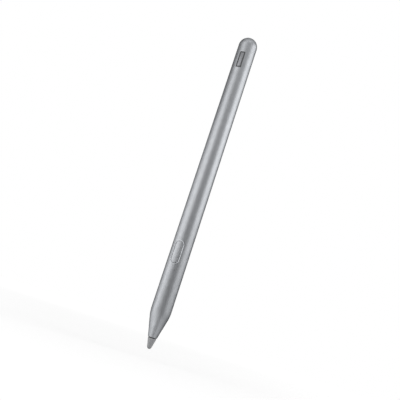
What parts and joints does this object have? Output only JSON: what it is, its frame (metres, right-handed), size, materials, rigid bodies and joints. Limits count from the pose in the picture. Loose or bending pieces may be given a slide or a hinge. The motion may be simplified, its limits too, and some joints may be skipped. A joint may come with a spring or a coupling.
{
  "type": "stylus pen",
  "caption": "Slim metal stylus pen: tapered nose, pull-off writing nib that presses in, flush side button, bare badge plate, domed end cap and a flat side for docking.",
  "frame": {"origin": "on the pen's axis at the middle of the straight barrel, where a loop or a hand holds it", "axes": "+Z along the axis from the nib to the end cap, -Y towards the side button, +Y out of the docking flat"},
  "size_m": [0.0094, 0.0091, 0.16],
  "materials": {
    "barrel_metal": "fine bead-blasted and anodised, satin grey",
    "cap_paint": "moulded plastic painted to match the barrel",
    "badge_metal": "plain satin plate, a shade darker than the barrel",
    "nib_plastic": "dense matte grey plastic",
    "black_rubber": "matte black elastomer",
    "pale_silicone": "pale translucent silicone",
    "brass": "turned",
    "spring_steel": "drawn or ground",
    "black_plastic": "moulded, fine spark texture",
    "board_green": "solder mask over glass laminate",
    "chip_black": "moulded chip package",
    "tinned_metal": "tinned sheet",
    "ceramic_tan": "fired ceramic",
    "copper": "enamelled or bare copper",
    "ferrite": "sintered dark grey",
    "magnet_plate": "nickel plated",
    "cell_can": "drawn metal can with a rolled ring",
    "foam": "soft open foam",
    "ribbon_amber": "amber flexible circuit"
  },
  "bodies": {
    "pen": {"barrel": "barrel_metal", "end_cap": "cap_paint", "badge_plate": "badge_metal", "nib_seal": "black_rubber", "cap_seal": "black_rubber", "preload_spring": "spring_steel", "front_bush": "black_plastic", "tilt_electrode": "copper", "sensor_holder": "black_plastic", "pressure_pad": "pale_silicone", "force_sensor": "chip_black", "sensor_board": "board_green", "sensor_flex": "ribbon_amber", "chassis": "black_plastic", "main_board": "board_green", "switch_body": "tinned_metal", "controller_chip": "chip_black", "radio_chip": "chip_black", "shield_can": "tinned_metal", "power_chip": "chip_black", "crystal": "tinned_metal", "board_capacitors": "ceramic_tan", "board_screws": "spring_steel", "coil_ferrite": "ferrite", "charging_coil": "copper", "front_magnets": "magnet_plate", "rear_magnets": "magnet_plate", "protection_board": "board_green", "battery": "cell_can", "battery_leads": "tinned_metal", "battery_foam": "foam", "antenna_board": "board_green", "antenna_lead": "black_plastic"},
    "writing_pin": {"nib_pin": "spring_steel"},
    "nib": {"nib": "nib_plastic", "nib_bush": "brass"},
    "button": {"button": "barrel_metal", "button_pad": "pale_silicone"},
    "switch_plunger": {"switch_plunger": "black_plastic"}
  },
  "joints": [
    {"name": "nib_press", "type": "slide", "parent": "pen", "child": "writing_pin", "axis": [0, 0, 1], "range_m": [0, 0.0003], "stiffness_N_per_m": 1200, "springref_m": -0.0003, "deforming": ["preload_spring", "pressure_pad"]},
    {"name": "nib_pull", "type": "slide", "parent": "writing_pin", "child": "nib", "axis": [0, 0, -1], "range_m": [0, 0.004]},
    {"name": "button_press", "type": "slide", "parent": "pen", "child": "button", "axis": [0, 1, 0], "range_m": [0, 0.00025], "stiffness_N_per_m": 4000, "springref_m": -0.0001},
    {"name": "switch_press", "type": "slide", "parent": "pen", "child": "switch_plunger", "axis": [0, 1, 0], "range_m": [0, 0.00025]}
  ],
  "couplings": [
    {"joint": "switch_press", "follows": "button_press", "ratio": 1}
  ]
}
